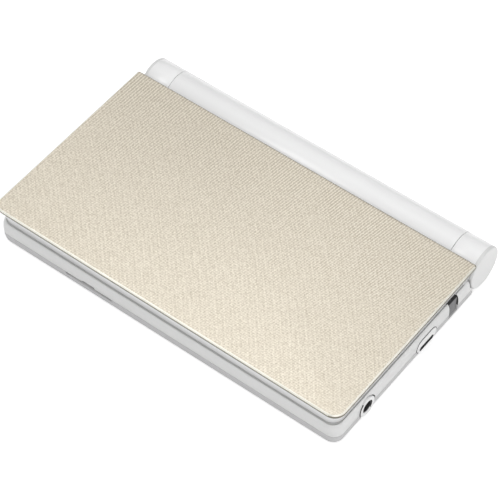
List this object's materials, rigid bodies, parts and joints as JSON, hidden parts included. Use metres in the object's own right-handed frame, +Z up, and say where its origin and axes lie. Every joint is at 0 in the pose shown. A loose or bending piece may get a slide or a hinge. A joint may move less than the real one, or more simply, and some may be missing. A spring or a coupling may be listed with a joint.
{
  "type": "electronic dictionary",
  "caption": "Clamshell pocket dictionary: barrel hinge with batteries inside, woven-look lid panel, keyboard, handwriting pad and a stylus in its channel.",
  "frame": {"origin": "on the table, under the middle of the closed object", "axes": "+X along the hinge to the right, +Y from the front edge to the hinge barrel, +Z up"},
  "size_m": [0.133, 0.0858, 0.0162],
  "materials": {
    "champagne_panel": "anodised, fine woven emboss",
    "white_shell": "pearl white, glossy",
    "case_upper": "satin white",
    "case_lower": "fine matt white",
    "white_key": "satin",
    "silver_key": "satin silver",
    "clear_window": "clear, polished",
    "display_glass": "dark, polished",
    "backlight_white": "matt white",
    "circuit_board": "solder mask",
    "soft_rubber": "matt",
    "key_rubber": "matt",
    "bright_steel": "bright",
    "cell_jacket": "printed jacket, bare of words",
    "amber_film": "polyimide film",
    "black_plastic": "matt",
    "grey_plastic": "satin grey"
  },
  "bodies": {
    "base": {"upper_case": "case_upper", "lower_case": "case_lower", "battery_barrel": "white_shell", "click_hinge_case": "bright_steel", "battery_1": "cell_jacket", "battery_2": "cell_jacket", "battery_spring": "bright_steel", "battery_contacts": "bright_steel", "main_board": "circuit_board", "key_membrane": "key_rubber", "pad_window": "clear_window", "pad_panel": "display_glass", "pad_frame": "black_plastic", "speaker": "black_plastic", "headphone_jack": "black_plastic", "jack_collar": "white_shell", "usb_socket": "bright_steel", "card_socket": "bright_steel", "rubber_feet": "soft_rubber", "case_screws": "bright_steel"},
    "lid": {"lid_panel": "champagne_panel", "lid_shell": "white_shell", "lid_bezel": "case_upper", "display_window": "clear_window", "lcd_panel": "display_glass", "backlight": "backlight_white", "display_board": "circuit_board", "lid_bumpers": "soft_rubber", "lid_screws": "bright_steel", "left_end_cap": "white_shell", "right_end_cap": "white_shell", "hinge_shaft": "bright_steel", "cable_bush": "grey_plastic", "display_cable": "amber_film"},
    "battery_cover": {"battery_cover": "white_shell"},
    "usb_cover": {"usb_cover": "white_shell"},
    "stylus": {"stylus_head": "grey_plastic", "stylus_barrel": "grey_plastic", "stylus_tip": "black_plastic"},
    "key_row_1": {"key_row_1": "silver_key"},
    "key_row_2": {"key_row_2": "white_key"},
    "key_row_3": {"key_row_3": "white_key"},
    "key_row_4": {"key_row_4": "white_key"},
    "key_row_5": {"key_row_5": "white_key"},
    "volume_keys": {"volume_keys": "silver_key"},
    "corner_keys": {"corner_keys": "silver_key"},
    "cursor_ring": {"cursor_ring": "silver_key"},
    "enter_key": {"enter_key": "white_key"}
  },
  "joints": [
    {"name": "lid_hinge", "type": "hinge", "parent": "base", "child": "lid", "pos_m": [0, 0.03547, 0.00765], "axis": [-1, 0, 0], "range_deg": [0, 150]},
    {"name": "stylus_pull", "type": "slide", "parent": "base", "child": "stylus", "axis": [1, 0, 0], "range_m": [0, 0.08]},
    {"name": "battery_cover_slide", "type": "slide", "parent": "base", "child": "battery_cover", "axis": [1, 0, 0], "range_m": [0, 0.0024]},
    {"name": "usb_cover_pull", "type": "slide", "parent": "base", "child": "usb_cover", "axis": [1, 0, 0], "range_m": [0, 0.004]},
    {"name": "key_row_1_press", "type": "slide", "parent": "base", "child": "key_row_1", "axis": [0, 0, -1], "range_m": [0, 0.0007], "stiffness_N_per_m": 600, "springref_m": -0.0005},
    {"name": "key_row_2_press", "type": "slide", "parent": "base", "child": "key_row_2", "axis": [0, 0, -1], "range_m": [0, 0.0007], "stiffness_N_per_m": 600, "springref_m": -0.0005},
    {"name": "key_row_3_press", "type": "slide", "parent": "base", "child": "key_row_3", "axis": [0, 0, -1], "range_m": [0, 0.0007], "stiffness_N_per_m": 600, "springref_m": -0.0005},
    {"name": "key_row_4_press", "type": "slide", "parent": "base", "child": "key_row_4", "axis": [0, 0, -1], "range_m": [0, 0.0007], "stiffness_N_per_m": 600, "springref_m": -0.0005},
    {"name": "key_row_5_press", "type": "slide", "parent": "base", "child": "key_row_5", "axis": [0, 0, -1], "range_m": [0, 0.0007], "stiffness_N_per_m": 600, "springref_m": -0.0005},
    {"name": "volume_keys_press", "type": "slide", "parent": "base", "child": "volume_keys", "axis": [0, 0, -1], "range_m": [0, 0.0007], "stiffness_N_per_m": 120, "springref_m": -0.0005},
    {"name": "corner_keys_press", "type": "slide", "parent": "base", "child": "corner_keys", "axis": [0, 0, -1], "range_m": [0, 0.0007], "stiffness_N_per_m": 240, "springref_m": -0.0005},
    {"name": "cursor_ring_press", "type": "slide", "parent": "base", "child": "cursor_ring", "axis": [0, 0, -1], "range_m": [0, 0.0007], "stiffness_N_per_m": 120, "springref_m": -0.0005},
    {"name": "enter_key_press", "type": "slide", "parent": "base", "child": "enter_key", "axis": [0, 0, -1], "range_m": [0, 0.0007], "stiffness_N_per_m": 120, "springref_m": -0.0005}
  ]
}
